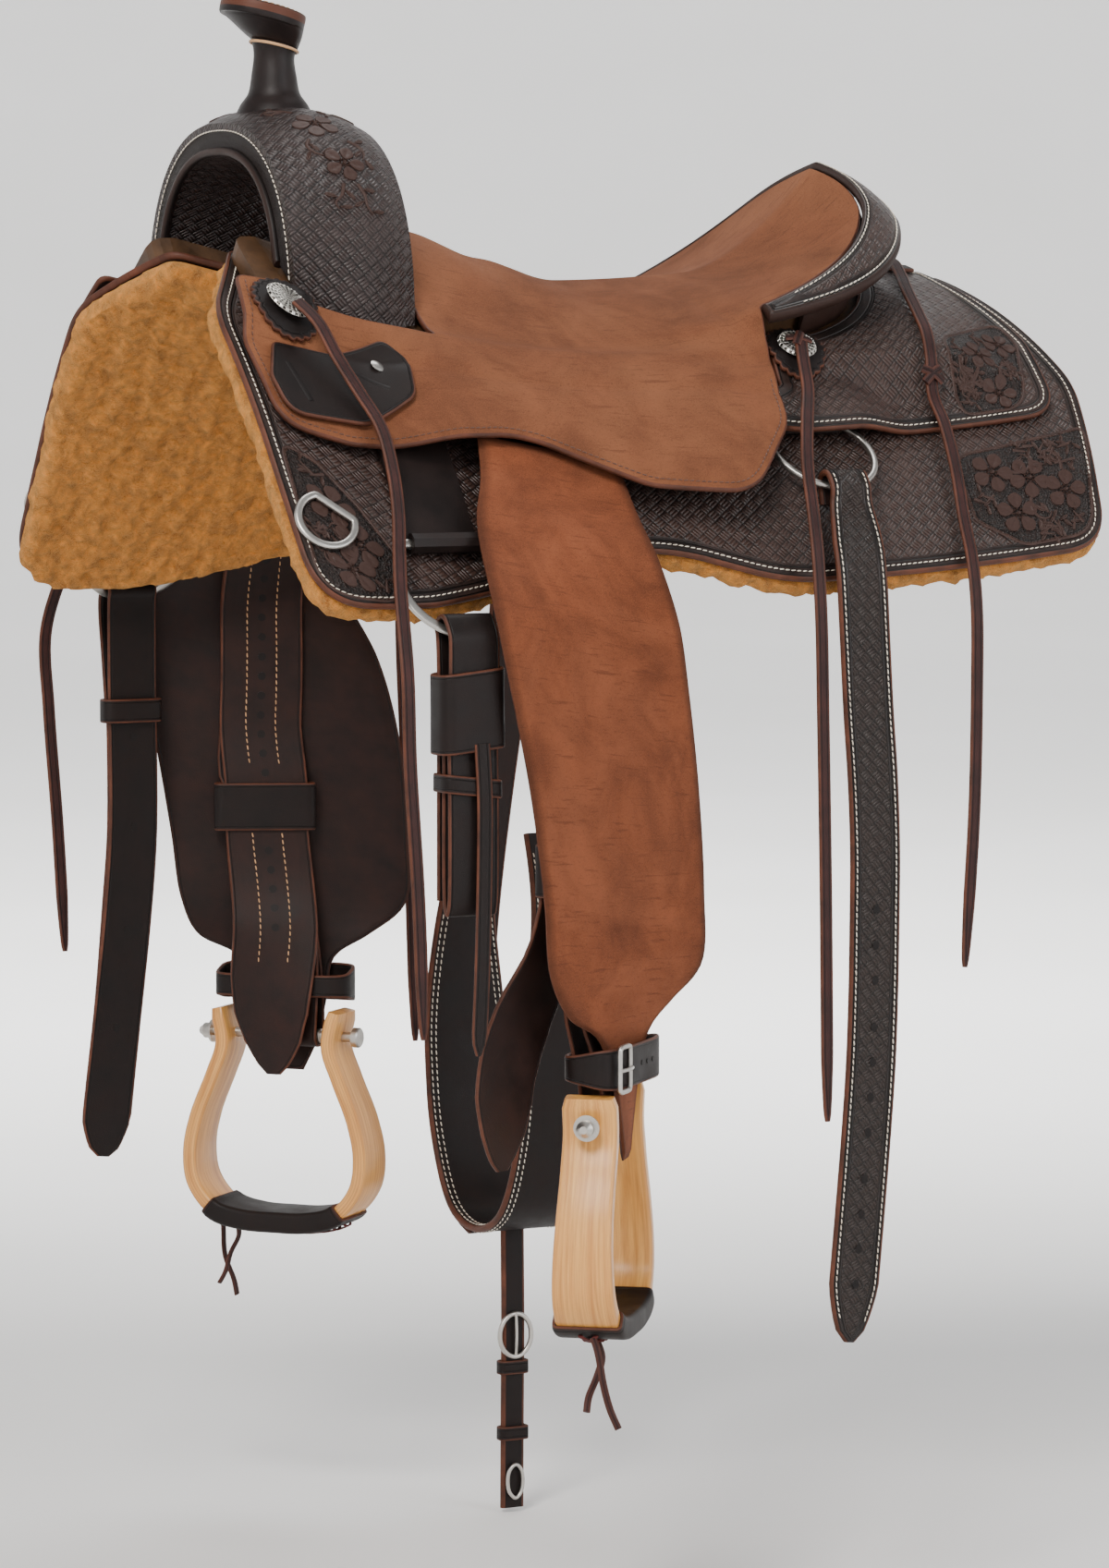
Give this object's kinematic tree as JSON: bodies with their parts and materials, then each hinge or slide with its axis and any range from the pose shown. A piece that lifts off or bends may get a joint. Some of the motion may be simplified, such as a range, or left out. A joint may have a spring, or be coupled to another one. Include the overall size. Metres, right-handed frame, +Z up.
{
  "type": "western cutting saddle",
  "caption": "Western riding saddle with suede seat, wooden stirrups, tooled skirts, fleece lining, dee rigging, latigo and rear cinch.",
  "frame": {"origin": "on the line of the horse's back under the seat's centre, where the fleece's ridge would rest", "axes": "+X to the rider's left, +Y to the rear of the saddle, +Z up"},
  "size_m": [0.73, 0.7452, 1.2665],
  "materials": {
    "tooled_leather": "dark brown tooled leather, semi-gloss",
    "suede": "warm brown rough-out suede, matte",
    "fleece": "golden orange fleece pile, matte",
    "strap_leather": "dark oiled strap leather, satin",
    "lining_leather": "brown skirting leather, satin",
    "rawhide": "pale rawhide over wood, hidden inside the saddle",
    "steel": "satin stainless steel",
    "wood": "varnished laminated wood"
  },
  "bodies": {
    "saddle": {"tree": "rawhide", "swell_cover": "tooled_leather", "horn_neck": "tooled_leather", "horn_cap": "tooled_leather", "seat": "suede", "ground_seat": "lining_leather", "cantle_roll": "tooled_leather", "cantle_back": "tooled_leather", "jockey_connector": "strap_leather", "latigo_keeper": "strap_leather", "rear_jockey_left": "tooled_leather", "skirt_left": "tooled_leather", "fleece_left": "fleece", "rosette_front_left": "tooled_leather", "rosette_rear_left": "tooled_leather", "concho_front_left": "steel", "concho_rear_left": "steel", "rigging_left": "strap_leather", "rear_rigging_left": "strap_leather", "front_dee_left": "steel", "string_front_left": "strap_leather", "string_middle_left": "strap_leather", "string_rear_left": "strap_leather", "rear_jockey_right": "tooled_leather", "skirt_right": "tooled_leather", "fleece_right": "fleece", "rosette_front_right": "tooled_leather", "rosette_rear_right": "tooled_leather", "concho_front_right": "steel", "concho_rear_right": "steel", "rigging_right": "strap_leather", "rear_rigging_right": "strap_leather", "front_dee_right": "steel", "string_front_right": "strap_leather", "string_middle_right": "strap_leather", "string_rear_right": "strap_leather"},
    "near_fender": {"fender_left": "suede", "stirrup_leather_left": "lining_leather", "leather_sleeve_left": "strap_leather", "hobble_strap_left": "strap_leather", "stirrup_bolt_left": "steel"},
    "near_stirrup": {"stirrup_left": "wood", "tread_cover_left": "strap_leather"},
    "near_rear_dee": {"rear_dee_left": "steel"},
    "near_breast_dee": {"breast_dee_left": "steel"},
    "off_fender": {"fender_right": "suede", "stirrup_leather_right": "lining_leather", "leather_sleeve_right": "strap_leather", "hobble_strap_right": "strap_leather", "stirrup_bolt_right": "steel"},
    "off_stirrup": {"stirrup_right": "wood", "tread_cover_right": "strap_leather"},
    "off_rear_dee": {"rear_dee_right": "steel"},
    "off_breast_dee": {"breast_dee_right": "steel"},
    "latigo": {"latigo": "strap_leather"},
    "off_billet": {"off_billet": "strap_leather"},
    "near_flank_billet": {"flank_billet_left": "tooled_leather"},
    "off_flank_billet": {"flank_billet_right": "tooled_leather", "flank_cinch": "tooled_leather"},
    "cinch_connector": {"cinch_connector": "strap_leather"}
  },
  "joints": [
    {"name": "near_fender_swing", "type": "hinge", "parent": "saddle", "child": "near_fender", "pos_m": [0.19, -0.095, -0.06], "axis": [0.9302, 0, 0.3671], "range_deg": [-2, 7]},
    {"name": "near_stirrup_turn", "type": "hinge", "parent": "near_fender", "child": "near_stirrup", "pos_m": [0.285, -0.088, -0.58], "axis": [0.7659, -0.6429, 0], "range_deg": [-25, 25]},
    {"name": "near_rear_dee_swing", "type": "hinge", "parent": "saddle", "child": "near_rear_dee", "pos_m": [0.19773, 0.141, -0.05883], "axis": [0, -1, 0], "range_deg": [0, 9]},
    {"name": "off_fender_swing", "type": "hinge", "parent": "saddle", "child": "off_fender", "pos_m": [-0.19, -0.095, -0.06], "axis": [0.9302, 0, -0.3671], "range_deg": [-2, 2.5]},
    {"name": "off_stirrup_turn", "type": "hinge", "parent": "off_fender", "child": "off_stirrup", "pos_m": [-0.285, -0.088, -0.58], "axis": [0.7659, 0.6429, 0], "range_deg": [-25, 16]},
    {"name": "off_rear_dee_swing", "type": "hinge", "parent": "saddle", "child": "off_rear_dee", "pos_m": [-0.19773, 0.141, -0.05883], "axis": [0, 1, 0], "range_deg": [0, 9]},
    {"name": "latigo_swing", "type": "hinge", "parent": "saddle", "child": "latigo", "pos_m": [0.3137, -0.218, -0.206], "axis": [0, -1, 0], "range_deg": [-3, 8]},
    {"name": "off_billet_swing", "type": "hinge", "parent": "saddle", "child": "off_billet", "pos_m": [-0.3137, -0.218, -0.206], "axis": [0, 1, 0], "range_deg": [-3, 8]},
    {"name": "near_flank_billet_swing", "type": "hinge", "parent": "near_rear_dee", "child": "near_flank_billet", "pos_m": [0.255, 0.141, -0.105], "axis": [0, -1, 0], "range_deg": [-3, 15]},
    {"name": "off_flank_billet_swing", "type": "hinge", "parent": "off_rear_dee", "child": "off_flank_billet", "pos_m": [-0.255, 0.141, -0.105], "axis": [0, 1, 0], "range_deg": [-3, 15]},
    {"name": "cinch_connector_swing", "type": "hinge", "parent": "off_flank_billet", "child": "cinch_connector", "pos_m": [-0.2065, 0.09, -0.75], "axis": [0, 1, 0], "range_deg": [-12, 6]},
    {"name": "near_breast_dee_flip", "type": "hinge", "parent": "saddle", "child": "near_breast_dee", "pos_m": [0.25123, -0.298, -0.11307], "axis": [-0.3742, -0.7431, 0.5547], "range_deg": [0, 28]},
    {"name": "off_breast_dee_flip", "type": "hinge", "parent": "saddle", "child": "off_breast_dee", "pos_m": [-0.25123, -0.298, -0.11307], "axis": [-0.3742, 0.7431, -0.5547], "range_deg": [0, 28]}
  ]
}
